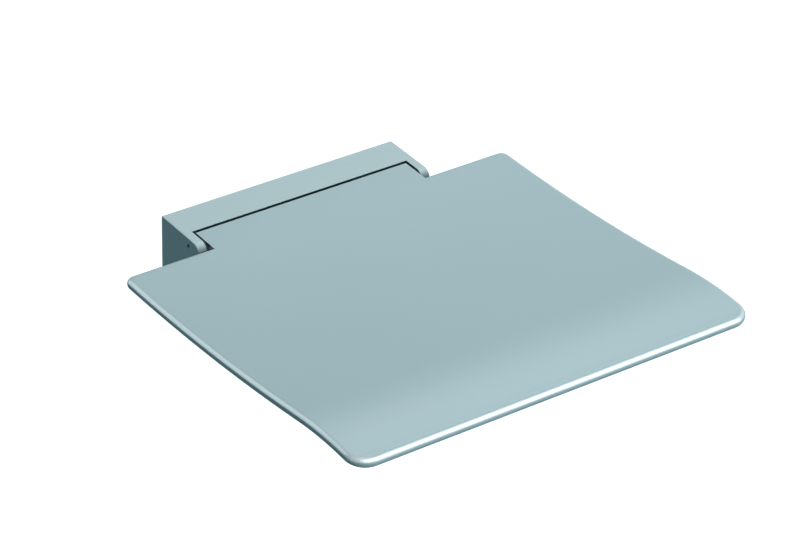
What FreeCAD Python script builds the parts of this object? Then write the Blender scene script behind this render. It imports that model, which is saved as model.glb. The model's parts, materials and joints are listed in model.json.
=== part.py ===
import FreeCAD, Part
import math
import os
import re

import Sketcher

# Fold down wall seat, in millimetres. X runs to the right along the wall, the seat reaches out to -Y,
# and Z is up. The origin is the middle of the four wall screws, on the face that lies on the wall.

sizes = {
    # seat panel, measured on its top face and from the wall
    "seatWidth": 420,
    "seatReach": 437.5,
    "seatThickness": 10.1,
    "seatDrop": 0.5,            # flat top of the seat below the top of the housing
    "hollowStart": 84.6,
    "riseAngle": 7.53,          # slope where the hollow meets the crest
    "crestRadius": 350.9,
    "crestSetback": 45.6,       # from the front edge back to the top of the crest
    "frontAngle": 3.2,          # slope down to the front edge
    "rimFlat": 0.3,             # flat band between the roundings of the rim
    "frontCornerRadius": 20,
    "rearCornerRadius": 9,
    # inside of the seat panel
    "skinThickness": 3.2,
    "rimWall": 12,
    "skirtDepth": 7.5,
    "skirtThickness": 2.6,
    "skirtGap": 0.2,            # skirt to the hinge eyes
    "bossRadius": 5.5,
    "bossInset": 35,            # outer bosses from the seat's side
    "innerBossSpread": 110,     # from the middle of the seat
    "frontBossSpread": 60,
    "rearBossGap": 12.7,        # rear bosses from the rear wall of the hollow inside
    "middleBossRow": 240,
    "insertRadius": 2.8,
    "insertLength": 4,
    "coverThickness": 2.5,
    "carrierInset": 60,         # carrier plate from the seat's side
    "carrierNeckInset": 5.3,    # its neck from the tongue's side
    "carrierNeckGap": 4.7,      # from the rear wall of the hollow inside to the end of the neck
    "carrierRearGap": 2,        # from the brake windows to its rear edge
    "carrierSetback": 107.5,    # its front edge from the seat's front edge
    "carrierCornerRadius": 10,
    "carrierSlotWidth": 14,
    "carrierSlotStart": 130,
    "carrierSlotEndGap": 30,
    "carrierSlotSpread": 52,
    # wall housing
    "housingWidth": 255.6,
    "housingHeight": 84,
    "cheekThickness": 9.8,
    "cheekFoot": 30,            # depth of a cheek at its lower end
    "cheekFootRadius": 7,
    "cheekEdgeRadius": 0.8,
    "axisDepth": 54,            # hinge axis from the wall
    "stripThickness": 3,
    "tongueGap": 3,             # strip to tongue
    "wingGap": 4,               # cheeks' noses to the wings
    # wall plate
    "plateThickness": 4,
    "plateBend": 1.5,
    "topFlangeSetback": 4.4,    # from the edge of the strip
    "sideFlangeDepth": 25,
    "sideFlangeTopGap": 14,
    "plateFootGap": 3,
    "wallHoleRadius": 4.2,
    "wallHoleSpacingX": 170,
    "wallHoleSpacingZ": 50,
    # hinge
    "sideGap": 1.7,             # tongue to cheek
    "pinRadius": 5,
    "pinEndRadius": 4,
    "pinFlangeInset": 0.5,      # edge of the pin's flange inside the edge of the eye
    "pinFlangeThickness": 1.2,
    "socketRadius": 6,
    "socketDepth": 6.2,
    "bushWall": 1,
    "eyeLength": 30.3,
    "eyeRadius": 10.8,
    "eyeTopWall": 1.1,          # metal above the bore of a hinge eye
    "windowLength": 36,
    "windowFront": 10.5,
    "windowRear": 12,
    "toothWall": 1,             # metal between the bore and the tooth's recess
    "toothWidth": 2,
    "toothAngle": 24,
    "toothPlay": 2,             # angle left over at both ends of the recess
    "toothLength": 2.2,
    "foldAngle": 90,
    "lockRadius": 2,
    "lockWall": 0.55,           # metal between a lock screw and the pin's socket
    "lockAbove": 3,             # lock screw above the hinge axis
    "lockRecess": 1.2,
    "lockSocketRadius": 1,
    "lockSocketDepth": 2,
    "blockFront": 38,
    "blockChamfer": 9,
    "tailSideGap": 4,           # tail to the brake windows
    "tailWallGap": 1.5,         # end of the tail to the screw cover
    "tailThickness": 8,
    "tailCornerRadius": 2,
    "carrierScrewRadius": 2.95,
    "carrierScrewRow": 26,
    "carrierScrewWeb": 12,      # inner screws from the brake windows
    "carrierScrewInset": 18.3,  # outer screws from the tongue's side
    "carrierHeadRadius": 5,
    "carrierHeadLength": 6,
    "carrierSocketRadius": 2.5,
    "carrierSocketDepth": 3,
    # brake
    "brakeTopGap": 0.4,         # disc to the underside of the seat's skin
    "brakeDiscThickness": 1.5,
    "springThickness": 0.7,
    "springCone": 0.35,
    "brakeNutLength": 6,
    "brakeNutSlot": 2,
    "pinEndOut": 1,             # end of the pin past the nut
    "brakeCoverWall": 1.6,
    "brakeCoverRise": 12,       # angle that the snap cover reaches above the axis, behind it
    # stop pads, screw cover and small screws
    "padThickness": 1.7,
    "padGap": 0.2,              # pad to tail when the seat is down
    "padInset": 4,              # pad inside the side of the tail
    "padDepth": 12,
    "padInner": 12,
    "coverDepth": 16,
    "coverWall": 2,
    "coverTopGap": 10,
    "coverSideGap": 4.4,
    "coverEdgeRadius": 1.5,
    "postRadius": 4,
    "postGap": 14,              # posts from the side of the tail
    "smallScrewRadius": 1.9,
    "coverHeadRadius": 3.5,
    "coverHeadLength": 1.1,
    "coverScrewGrip": 7,
    "housingScrewRadius": 2.45,
    "housingScrewGrip": 6.5,
    "housingHeadRadius": 4.2,
    "housingHeadLength": 2.6,
    "housingSocketRadius": 1.5,
    "housingSocketDepth": 1.7,
    "housingScrewDepth": 14,
    "housingScrewInset": 22,    # from the top and the foot of the housing
    "baseHeadRadius": 3.6,
    "baseHeadLength": 1.3,
    # clearances
    "runningFit": 0.05,
    "screwFit": 0.05,
    "freeHole": 0.35,
    "seatGap": 0.1,             # between pieces that are clamped together
    "partGap": 0.3,             # between pieces that are held apart
    "brakeGap": 0.2,
    "overcut": 5,               # how far a cut runs past the face that it goes through
}
springCount = 4

doc = FreeCAD.newDocument("FoldDownWallSeat")
sheet = doc.addObject("Spreadsheet::Sheet", "Sizes")
for row, (alias, value) in enumerate(sizes.items(), start=1):
    sheet.set(f"A{row}", alias)
    sheet.set(f"B{row}", str(value))
    sheet.setAlias(f"B{row}", alias)
doc.recompute()

# Formulas that several pieces share. A formula is written with the sheet's words.

housingTop = "(housingHeight / 2)"
seatTop = f"({housingTop} - seatDrop)"
cheekInner = "(housingWidth / 2 - cheekThickness)"
tongueSide = f"({cheekInner} - sideGap)"

# Depths below the seat's top face.
carrierTop = "(skinThickness + seatGap)"
coverTop = "(seatThickness - coverThickness)"
carrierBottom = f"({coverTop} - partGap)"

# Hinge. Its bore sets how far the axis lies below the seat, and with that the rounding of the cheeks.
boreRadius = "(pinRadius + runningFit + bushWall + runningFit)"
topAboveAxis = f"({boreRadius} + eyeTopWall + {carrierTop})"
noseRadius = f"({topAboveAxis} + seatDrop)"
axisHeight = f"({housingTop} - {noseRadius})"
noseReach = f"(axisDepth + {noseRadius})"
eyeEnd = f"({tongueSide} - eyeLength)"
windowEnd = f"({eyeEnd} - windowLength)"
toothInner = f"({boreRadius} + toothWall)"
toothOuter = f"({toothInner} + toothWidth)"
lockBehind = "sqrt((socketRadius + lockRadius + lockWall)^2 - lockAbove^2)"
tailSide = f"({windowEnd} - tailSideGap)"
tailLength = "(axisDepth - coverDepth - tailWallGap)"

# Edges of the seat and the housing, from the wall.
tongueRear = "(axisDepth - eyeRadius - skirtGap - skirtThickness)"
stripDepth = f"({tongueRear} - tongueGap)"
topFlangeDepth = f"({stripDepth} - topFlangeSetback)"
wingRear = f"({noseReach} + wingGap)"
cavityRear = "(axisDepth + blockFront + partGap)"
carrierRear = "(axisDepth + windowFront + carrierRearGap)"
carrierFront = "(seatReach - carrierSetback)"
crestRow = "(seatReach - crestSetback)"
hollowRadius = f"(({crestRow} - hollowStart) / sin(riseAngle) - crestRadius)"
crestHeight = f"(({hollowRadius} + crestRadius) * (1 - cos(riseAngle)))"

# Wall plate and brake.
plateTop = f"({housingTop} - stripThickness - seatGap)"
plateSide = f"({cheekInner} - seatGap)"
flangeUnder = f"({plateTop} - plateThickness)"
tailTop = f"({flangeUnder} - padThickness - padGap - {axisHeight})"
brakeDiscRadius = f"({topAboveAxis} - skinThickness - brakeTopGap)"
springPitch = "(springThickness + springCone + seatGap)"
discOuter = f"({eyeEnd} - brakeGap)"
discInner = f"({discOuter} - brakeDiscThickness)"
springInner = f"({discInner} - seatGap - {springCount} * {springPitch})"
nutInner = f"({springInner} - brakeNutLength)"


def bound(formula):
    """The formula in the sheet's own spelling."""
    def cell(word):
        return "Sizes." + word.group() if word.group() in sizes else word.group()
    return re.sub(r"[A-Za-z]\w*", cell, str(formula))


def number(formula):
    """What the formula comes to now."""
    result = sheet.evalExpression(bound(formula))
    return float(getattr(result, "Value", result))


def newBody(label, x=None, y=None, z=None):
    """A body with its own label, placed by up to three formulas."""
    body = doc.addObject("PartDesign::Body", label)
    body.Label = label
    body.AllowCompound = True
    for axis, formula in (("x", x), ("y", y), ("z", z)):
        if formula is not None:
            body.setExpression(f"Placement.Base.{axis}", bound(formula))
    return body


def hingeBody(label):
    """A body whose origin is on the hinge axis."""
    return newBody(label, y="-axisDepth", z=axisHeight)


def seatBody(label):
    """A body whose height is counted from the flat top of the seat."""
    return newBody(label, z=seatTop)


def plane(body, role):
    return [feature for feature in body.Origin.OriginFeatures if feature.Role == role][0]


def newSketch(body, role, offset=None):
    """A sketch on one of the body's origin planes, moved along the plane's normal by a formula."""
    sketch = body.newObject("Sketcher::SketchObject", "Outline")
    sketch.AttachmentSupport = [(plane(body, role), "")]
    sketch.MapMode = "FlatFace"
    if offset is not None:
        sketch.setExpression("AttachmentOffset.Base.z", bound(offset))
    return sketch


def pin(sketch, geometry, position, x, y):
    """Fix a point of a sketch at two formulas."""
    for kind, formula, axis in (("DistanceX", x, -2), ("DistanceY", y, -1)):
        value = number(formula)
        if str(formula) == "0":
            sketch.addConstraint(Sketcher.Constraint("PointOnObject", geometry, position, axis))
        elif value > 0:
            index = sketch.addConstraint(Sketcher.Constraint(kind, -1, 1, geometry, position, value))
            sketch.setExpression(f"Constraints[{index}]", bound(formula))
        else:
            index = sketch.addConstraint(Sketcher.Constraint(kind, geometry, position, -1, 1, -value))
            sketch.setExpression(f"Constraints[{index}]", bound(f"-({formula})"))


def arcBetween(start, end, radius, turn):
    """The short arc from start to end; turn is 1 when it bends to the left, -1 to the right."""
    chord = end - start
    reach = math.sqrt(radius ** 2 - (chord.Length / 2) ** 2)
    left = FreeCAD.Vector(-chord.y, chord.x, 0).normalize()
    centre = (start + end) / 2 + left * reach * turn
    ends = (start, end) if turn > 0 else (end, start)
    angles = [math.atan2(point.y - centre.y, point.x - centre.x) for point in ends]
    if angles[1] < angles[0]:
        angles[1] += 2 * math.pi
    return Part.ArcOfCircle(Part.Circle(centre, FreeCAD.Vector(0, 0, 1), radius), *angles)


def addPath(sketch, corners, arcs=None):
    """A closed outline through corners given by formulas; arcs maps a side's number to (radius, turn)."""
    arcs = arcs or {}
    first = sketch.GeometryCount
    points = [FreeCAD.Vector(number(x), number(y), 0) for x, y in corners]
    starts = []
    for index, start in enumerate(points):
        end = points[(index + 1) % len(points)]
        if index in arcs:
            radius, turn = arcs[index]
            sketch.addGeometry(arcBetween(start, end, number(radius), turn), False)
            starts.append(1 if turn > 0 else 2)
        else:
            sketch.addGeometry(Part.LineSegment(start, end), False)
            starts.append(1)
    for index, (x, y) in enumerate(corners):
        before = (index - 1) % len(corners)
        sketch.addConstraint(Sketcher.Constraint(
            "Coincident", first + before, 3 - starts[before], first + index, starts[index]))
        pin(sketch, first + index, starts[index], x, y)
    for index, (radius, turn) in arcs.items():
        place = sketch.addConstraint(Sketcher.Constraint("Radius", first + index, number(radius)))
        sketch.setExpression(f"Constraints[{place}]", bound(radius))


def addBox(sketch, x0, y0, x1, y1):
    addPath(sketch, [(x0, y0), (x1, y0), (x1, y1), (x0, y1)])


def addCircles(sketch, centres, radius):
    for x, y in centres:
        place = FreeCAD.Vector(number(x), number(y), 0)
        index = sketch.addGeometry(Part.Circle(place, FreeCAD.Vector(0, 0, 1), number(radius)), False)
        pin(sketch, index, 3, x, y)
        size = sketch.addConstraint(Sketcher.Constraint("Radius", index, number(radius)))
        sketch.setExpression(f"Constraints[{size}]", bound(radius))


def extrude(body, kind, sketch, length, symmetric=False, reverse=False):
    """A Pad or a Pocket of the sketch, checked to have changed the body."""
    before = body.Shape.Volume if body.Tip else 0
    feature = body.newObject("PartDesign::" + kind, kind)
    feature.Profile = sketch
    feature.SideType = "Symmetric" if symmetric else "One side"
    feature.Reversed = reverse
    feature.setExpression("Length", bound(length))
    doc.recompute()
    change = body.Shape.Volume - before
    if (change <= 1e-6 if kind == "Pad" else change >= -1e-6):
        raise RuntimeError(f"{body.Label}: a {kind} changed nothing")
    return feature


def mirrored(body, features, role="YZ_Plane"):
    """The same features on the other side of the middle plane."""
    feature = body.newObject("PartDesign::Mirrored", "OtherSide")
    feature.Originals = features
    feature.MirrorPlane = (plane(body, role), [""])
    body.Tip = feature
    doc.recompute()
    return feature


def fillet(body, radius, wanted):
    """Round the edges of the body that the test wants."""
    base = body.Tip
    names = [f"Edge{place}" for place, edge in enumerate(base.Shape.Edges, start=1) if wanted(edge)]
    if not names:
        raise RuntimeError(f"{body.Label}: no edge to round")
    feature = body.newObject("PartDesign::Fillet", "Rounding")
    feature.Base = (base, names)
    feature.setExpression("Radius", bound(radius))
    doc.recompute()
    return feature


def roundPad(body, start, end, radius, centres=(("0", "0"),), mirror=False):
    """A round bar along X from one formula to another, at each centre, and on the other side too."""
    sketch = newSketch(body, "YZ_Plane", start)
    addCircles(sketch, centres, radius)
    pad = extrude(body, "Pad", sketch, f"{end} - ({start})")
    if mirror:
        mirrored(body, [pad])
    return pad


def roundPocket(body, start, end, radius, centres=(("0", "0"),), mirror=False):
    """A round hole along X from one formula to another."""
    sketch = newSketch(body, "YZ_Plane", start)
    addCircles(sketch, centres, radius)
    pocket = extrude(body, "Pocket", sketch, f"{end} - ({start})", reverse=True)
    if mirror:
        mirrored(body, [pocket])
    return pocket


def otherSide(label, source):
    """The mirror image of a right hand piece."""
    piece = doc.addObject("Part::Mirroring", label)
    piece.Label = label
    piece.Source = source
    piece.Normal = FreeCAD.Vector(1, 0, 0)
    doc.recompute()
    return piece


def onHollow(depth, row):
    """Height of the hollow's arc at a depth below the top face and a distance from the wall."""
    return f"({hollowRadius} - sqrt(({hollowRadius} + {depth})^2 - ({row} - hollowStart)^2))"


def waveSlice(top, bottom, rear, front, flatRear=True, pastCrest=True):
    """Corners and arcs of a slice of the seat's wave, between two depths below its top face.

    The wave is flat, then a long hollow arc, a crest arc and a straight fall to the front. A slice may
    start inside the hollow, and may end there too."""
    def column(depth):
        hollow = f"({hollowRadius} + {depth})"
        crest = f"(crestRadius - {depth})"
        fallRow = f"({crestRow} + {crest} * sin(frontAngle))"
        fallHeight = f"({crestHeight} - crestRadius + {crest} * cos(frontAngle))"
        start = [(f"-({rear})", f"-({depth})"), ("-hollowStart", f"-({depth})")]
        end = [
            (f"-(hollowStart + {hollow} * sin(riseAngle))", f"{hollowRadius} - {hollow} * cos(riseAngle)"),
            (f"-{fallRow}", fallHeight),
            (f"-({front})", f"{fallHeight} - ({front} - {fallRow}) * tan(frontAngle)"),
        ]
        if not flatRear:
            start = [(f"-({rear})", onHollow(depth, rear))]
        if not pastCrest:
            end = [(f"-({front})", onHollow(depth, front))]
        return start + end
    corners = column(top) + column(bottom)[::-1]
    hollowSide = 1 if flatRear else 0
    lastSide = len(corners) - 2
    arcs = {
        hollowSide: (f"{hollowRadius} + {top}", -1),
        lastSide - hollowSide: (f"{hollowRadius} + {bottom}", 1),
    }
    if pastCrest:
        arcs[hollowSide + 1] = (f"crestRadius - {top}", 1)
        arcs[lastSide - hollowSide - 1] = (f"crestRadius - {bottom}", -1)
    return corners, arcs


def hollowSlope(row):
    return f"(({row} - hollowStart) / {hollowRadius})"


# Rows of bosses, inserts and screws: distance from the wall, height of the top face, how far a surface
# a millimetre away is from level, and places across.
bossSpread = "(seatWidth / 2 - bossInset)"
rearBossRow = f"({cavityRear} + rearBossGap)"
bossRows = [
    (rearBossRow, onHollow(0, rearBossRow), hollowSlope(rearBossRow), (bossSpread,)),
    ("middleBossRow", onHollow(0, "middleBossRow"), hollowSlope("middleBossRow"),
     (bossSpread, "innerBossSpread")),
    (crestRow, crestHeight, "0", (bossSpread, "frontBossSpread")),
]


def bossFoot(height, slope):
    """Height of the lower end of a boss, just clear of the base cover all round."""
    return f"({height} - {coverTop} + seatGap + bossRadius * {slope})"


def screwHeadFace(height, slope):
    """Height of the outer face of a base screw, just below the cover's surface all round."""
    return f"({height} - seatThickness + seatGap + baseHeadRadius * {slope})"


def bossCentres(row, spreads):
    return [(f"{sign}{spread}", f"-({row})") for spread in spreads for sign in ("", "-")]


def upright(edge):
    return abs(edge.Vertexes[0].Point.z - edge.Vertexes[-1].Point.z) > 1 and abs(edge.tangentAt(
        edge.FirstParameter).z) > 0.9


def seatShell():
    body = seatBody("seat_shell")
    sketch = newSketch(body, "YZ_Plane")
    addPath(sketch, *waveSlice("0", "seatThickness", wingRear, "seatReach"))
    extrude(body, "Pad", sketch, "seatWidth", symmetric=True)
    middle = number(f"({wingRear} + seatReach) / 2")
    fillet(body, "rearCornerRadius", lambda edge: upright(edge) and -edge.Vertexes[0].Point.y < middle)
    fillet(body, "frontCornerRadius", lambda edge: upright(edge) and -edge.Vertexes[0].Point.y > middle)
    side = number("seatWidth / 2")
    rear, front = number(wingRear), number("seatReach")
    rearCorner, frontCorner = number("rearCornerRadius"), number("frontCornerRadius")

    def onRim(edge):
        place = edge.valueAt((edge.FirstParameter + edge.LastParameter) / 2)
        if upright(edge):
            return False
        onSide = abs(abs(place.x) - side) < 0.01
        onEnd = abs(-place.y - rear) < 0.01 or abs(-place.y - front) < 0.01
        inRearCorner = abs(place.x) > side - rearCorner and -place.y < rear + rearCorner
        inFrontCorner = abs(place.x) > side - frontCorner and -place.y > front - frontCorner
        return onSide or onEnd or inRearCorner or inFrontCorner

    fillet(body, "(seatThickness - rimFlat) / 2", onRim)
    sketch = newSketch(body, "YZ_Plane")
    addBox(sketch, f"-{tongueRear}", "-seatThickness", f"-({wingRear} + rimWall)", "0")
    extrude(body, "Pad", sketch, f"2 * {tongueSide}", symmetric=True)
    sketch = newSketch(body, "YZ_Plane")
    addPath(sketch, *waveSlice("skinThickness", "(seatThickness + overcut)", cavityRear,
                               "(seatReach - rimWall)", flatRear=False))
    extrude(body, "Pocket", sketch, "seatWidth - 2 * rimWall", symmetric=True)
    sketch = newSketch(body, "YZ_Plane")
    skirtInner = f"-({tongueRear} + skirtThickness)"
    addPath(sketch, [
        (skirtInner, "-skinThickness"),
        (skirtInner, "-skirtDepth"),
        (f"-({tongueRear} - overcut)", "-skirtDepth"),
        (f"-({tongueRear} - overcut)", "-(seatThickness + overcut)"),
        (f"-{cavityRear}", "-(seatThickness + overcut)"),
        (f"-{cavityRear}", "-skinThickness"),
    ])
    extrude(body, "Pocket", sketch, f"2 * ({tongueSide} + partGap)", symmetric=True)
    for row, height, slope, spreads in bossRows:
        sketch = newSketch(body, "XY_Plane", bossFoot(height, slope))
        addCircles(sketch, bossCentres(row, spreads), "bossRadius")
        extrude(body, "Pad", sketch, f"{coverTop} - skinThickness / 2")
    for row, height, slope, spreads in bossRows:
        sketch = newSketch(body, "XY_Plane", bossFoot(height, slope))
        addCircles(sketch, bossCentres(row, spreads), "insertRadius + seatGap")
        extrude(body, "Pocket", sketch, "insertLength + seatGap", reverse=True)
    return body


def baseCover():
    body = seatBody("base_cover")
    sketch = newSketch(body, "YZ_Plane")
    addPath(sketch, *waveSlice(coverTop, "seatThickness", f"({cavityRear} + partGap)",
                               "(seatReach - rimWall - partGap)", flatRear=False))
    extrude(body, "Pad", sketch, "seatWidth - 2 * rimWall - 2 * partGap", symmetric=True)
    for row, height, slope, spreads in bossRows:
        centres = bossCentres(row, spreads)
        outside = f"({screwHeadFace(height, slope)} - overcut)"
        sketch = newSketch(body, "XY_Plane", outside)
        addCircles(sketch, centres, "smallScrewRadius + freeHole")
        extrude(body, "Pocket", sketch, "seatThickness + overcut", reverse=True)
        sketch = newSketch(body, "XY_Plane", outside)
        addCircles(sketch, centres, "baseHeadRadius + freeHole")
        extrude(body, "Pocket", sketch, "overcut + baseHeadLength", reverse=True)
    return body


def carrierPlate():
    body = seatBody("carrier_plate")
    side = "(seatWidth / 2 - carrierInset)"
    neckSide = f"({tongueSide} - carrierNeckInset)"
    through = f"{crestHeight} + seatThickness + 2 * overcut"
    sketch = newSketch(body, "YZ_Plane")
    addPath(sketch, *waveSlice(carrierTop, carrierBottom, carrierRear, carrierFront, pastCrest=False))
    extrude(body, "Pad", sketch, f"2 * {side}", symmetric=True)
    sketch = newSketch(body, "XY_Plane", "-seatThickness - overcut")
    for sign in ("", "-"):
        addBox(sketch, f"{sign}{neckSide}", f"-({carrierRear} - overcut)",
               f"{sign}({side} + overcut)", f"-({cavityRear} + carrierNeckGap)")
    extrude(body, "Pocket", sketch, through, reverse=True)
    fillet(body, f"min(carrierCornerRadius; ({side} - {neckSide}) / 2 - partGap)", upright)
    sketch = newSketch(body, "XY_Plane", "-seatThickness - overcut")
    addCircles(sketch, screwPlaces("-(axisDepth + carrierScrewRow)"), "carrierScrewRadius + screwFit")
    extrude(body, "Pocket", sketch, through, reverse=True)
    sketch = newSketch(body, "XY_Plane", "-seatThickness - overcut")
    addCircles(sketch, bossCentres("middleBossRow", ("innerBossSpread",)), "bossRadius + partGap")
    extrude(body, "Pocket", sketch, through, reverse=True)
    sketch = newSketch(body, "XY_Plane", "-seatThickness - overcut")
    for middle in ("-carrierSlotSpread", "0", "carrierSlotSpread"):
        addBox(sketch, f"{middle} - carrierSlotWidth / 2", "-carrierSlotStart",
               f"{middle} + carrierSlotWidth / 2", f"-({carrierFront} - carrierSlotEndGap)")
    extrude(body, "Pocket", sketch, through, reverse=True)
    return body


def screwPlaces(row):
    """Places of the four screws that join the hinge block to the carrier plate."""
    spreads = (f"({windowEnd} - carrierScrewWeb)", f"({tongueSide} - carrierScrewInset)")
    return [(f"{sign}{spread}", row) for spread in spreads for sign in ("", "-")]


def toothPath(sketch, inner, outer, start, end):
    """A piece of a ring round the hinge axis, between two angles of less than half a turn."""
    def onRing(radius, angle):
        return (f"({radius}) * cos({angle})", f"({radius}) * sin({angle})")
    addPath(sketch, [onRing(inner, start), onRing(outer, start), onRing(outer, end), onRing(inner, end)],
            {1: (outer, 1), 3: (inner, -1)})


def hingeBlock():
    body = hingeBody("hinge_block")
    blockTop = f"({topAboveAxis} - {carrierTop})"
    ledgeTop = f"({topAboveAxis} - {carrierBottom} - seatGap)"
    ledgeRear = f"({carrierRear} - axisDepth - partGap)"
    coverUnder = f"({topAboveAxis} - seatThickness)"
    sketch = newSketch(body, "YZ_Plane")
    addPath(sketch, [
        (f"sqrt(eyeRadius * eyeRadius - {blockTop} * {blockTop})", blockTop),
        ("0", "-eyeRadius"),
        ("-(blockFront - blockChamfer)", "-eyeRadius"),
        ("-blockFront", coverUnder),
        ("-blockFront", ledgeTop),
        (f"-{ledgeRear}", ledgeTop),
        (f"-{ledgeRear}", blockTop),
    ], {0: ("eyeRadius", -1)})
    extrude(body, "Pad", sketch, f"2 * {tongueSide}", symmetric=True)
    sketch = newSketch(body, "XY_Plane", "-eyeRadius - overcut")
    for sign in ("", "-"):
        addBox(sketch, f"{sign}{windowEnd}", "windowRear", f"{sign}{eyeEnd}", "-windowFront")
    extrude(body, "Pocket", sketch, "2 * eyeRadius + 2 * overcut", reverse=True)
    sketch = newSketch(body, "YZ_Plane")
    addBox(sketch, "0", f"{tailTop} - tailThickness", tailLength, tailTop)
    extrude(body, "Pad", sketch, f"2 * {tailSide}", symmetric=True)
    end = number(tailLength)
    fillet(body, "tailCornerRadius", lambda edge: abs(edge.CenterOfMass.y - end) < 0.01 and
           abs(edge.tangentAt(edge.FirstParameter).x) > 0.9)
    roundPocket(body, f"{eyeEnd} - overcut", f"{tongueSide} + overcut", boreRadius, mirror=True)
    sketch = newSketch(body, "YZ_Plane", f"{tongueSide} - toothLength - partGap")
    halfTooth = "(toothAngle / 2 + toothPlay)"
    toothPath(sketch, f"{toothInner} - brakeGap", f"{toothOuter} + brakeGap", f"(180 - {halfTooth})",
              f"(180 + foldAngle + {halfTooth})")
    recess = extrude(body, "Pocket", sketch, "toothLength + partGap + overcut", reverse=True)
    mirrored(body, [recess])
    sketch = newSketch(body, "XY_Plane", "-eyeRadius - overcut")
    addCircles(sketch, screwPlaces("-carrierScrewRow"), "carrierScrewRadius + freeHole")
    extrude(body, "Pocket", sketch, "2 * eyeRadius + 2 * overcut", reverse=True)
    sketch = newSketch(body, "XY_Plane", "-eyeRadius - overcut")
    addCircles(sketch, screwPlaces("-carrierScrewRow"), "carrierHeadRadius + freeHole")
    extrude(body, "Pocket", sketch, "overcut + carrierHeadLength + freeHole", reverse=True)
    return body


def carrierScrews():
    body = hingeBody("carrier_screws")
    head = "(freeHole - eyeRadius)"
    sketch = newSketch(body, "XY_Plane", head)
    addCircles(sketch, screwPlaces("-carrierScrewRow"), "carrierHeadRadius")
    extrude(body, "Pad", sketch, "carrierHeadLength")
    sketch = newSketch(body, "XY_Plane", head)
    addCircles(sketch, screwPlaces("-carrierScrewRow"), "carrierScrewRadius")
    extrude(body, "Pad", sketch, f"{topAboveAxis} - {carrierTop} - partGap - {head}")
    sketch = newSketch(body, "XY_Plane", head)
    addCircles(sketch, screwPlaces("-carrierScrewRow"), "carrierSocketRadius")
    extrude(body, "Pocket", sketch, "carrierSocketDepth", reverse=True)
    return body


def bush():
    body = hingeBody("right_bush")
    outer = "(pinRadius + runningFit + bushWall)"
    roundPad(body, f"({eyeEnd} + brakeGap)", f"({tongueSide} - brakeGap)", outer)
    roundPocket(body, f"({eyeEnd} - overcut)", f"({tongueSide} + overcut)", "pinRadius + runningFit")
    return body


def brakeCover():
    body = hingeBody("right_brake_cover")
    inner = "(eyeRadius - brakeCoverWall)"
    front = "-(windowFront - partGap)"
    sketch = newSketch(body, "YZ_Plane", f"{windowEnd} + partGap")
    addPath(sketch, [
        (front, "-eyeRadius"),
        ("0", "-eyeRadius"),
        ("eyeRadius * cos(brakeCoverRise)", "eyeRadius * sin(brakeCoverRise)"),
        (f"{inner} * cos(brakeCoverRise)", f"{inner} * sin(brakeCoverRise)"),
        ("0", f"-{inner}"),
        (front, f"-{inner}"),
    ], {1: ("eyeRadius", 1), 3: (inner, -1)})
    extrude(body, "Pad", sketch, "windowLength - 2 * partGap")
    return body


# Depth and height of the screws between the wall plate and the cheeks.
sideScrews = [("-housingScrewDepth", f"{sign}(housingHeight / 2 - housingScrewInset)") for sign in ("", "-")]


def housing():
    body = newBody("housing")
    foot = "(-housingHeight / 2)"
    footFall = f"({axisHeight} + housingHeight / 2)"
    footSetback = "(axisDepth - cheekFoot)"
    reach = f"sqrt({footFall}^2 + {footSetback}^2)"
    tangent = f"(atan({footFall} / {footSetback}) + acos({noseRadius} / {reach}))"
    sketch = newSketch(body, "YZ_Plane")
    addPath(sketch, [
        ("0", housingTop),
        ("0", foot),
        ("-cheekFoot", foot),
        (f"{noseRadius} * cos({tangent}) - axisDepth", f"{axisHeight} - {noseRadius} * sin({tangent})"),
        ("-axisDepth", housingTop),
    ], {3: (noseRadius, -1)})
    extrude(body, "Pad", sketch, "housingWidth", symmetric=True)
    sketch = newSketch(body, "YZ_Plane")
    past = f"-({noseReach} + overcut)"
    under = f"{housingTop} - stripThickness"
    addPath(sketch, [
        ("overcut", under),
        (f"-{stripDepth}", under),
        (f"-{stripDepth}", f"{housingTop} + overcut"),
        (past, f"{housingTop} + overcut"),
        (past, f"{foot} - overcut"),
        ("overcut", f"{foot} - overcut"),
    ])
    extrude(body, "Pocket", sketch, f"2 * {cheekInner}", symmetric=True)
    lowest = number(foot)
    footDepth = -number("cheekFoot")
    fillet(body, "cheekFootRadius", lambda edge: abs(edge.tangentAt(edge.FirstParameter).x) > 0.9 and
           (edge.CenterOfMass - FreeCAD.Vector(edge.CenterOfMass.x, footDepth, lowest)).Length < 0.1)
    outer = number("housingWidth / 2")
    fillet(body, "cheekEdgeRadius", lambda edge: all(
        abs(abs(vertex.X) - outer) < 0.01 for vertex in edge.Vertexes) and edge.CenterOfMass.y < -0.1)
    axis = [("-axisDepth", axisHeight)]
    lock = [(f"-(axisDepth - {lockBehind})", f"{axisHeight} + lockAbove")]
    inside = f"({cheekInner} - overcut)"
    roundPocket(body, inside, f"{cheekInner} + socketDepth", "socketRadius", axis, mirror=True)
    roundPocket(body, inside, "housingWidth / 2 + overcut", "lockRadius", lock, mirror=True)
    roundPocket(body, inside, f"{cheekInner} + housingScrewGrip + partGap",
                "housingScrewRadius + screwFit", sideScrews, mirror=True)
    return body


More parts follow.
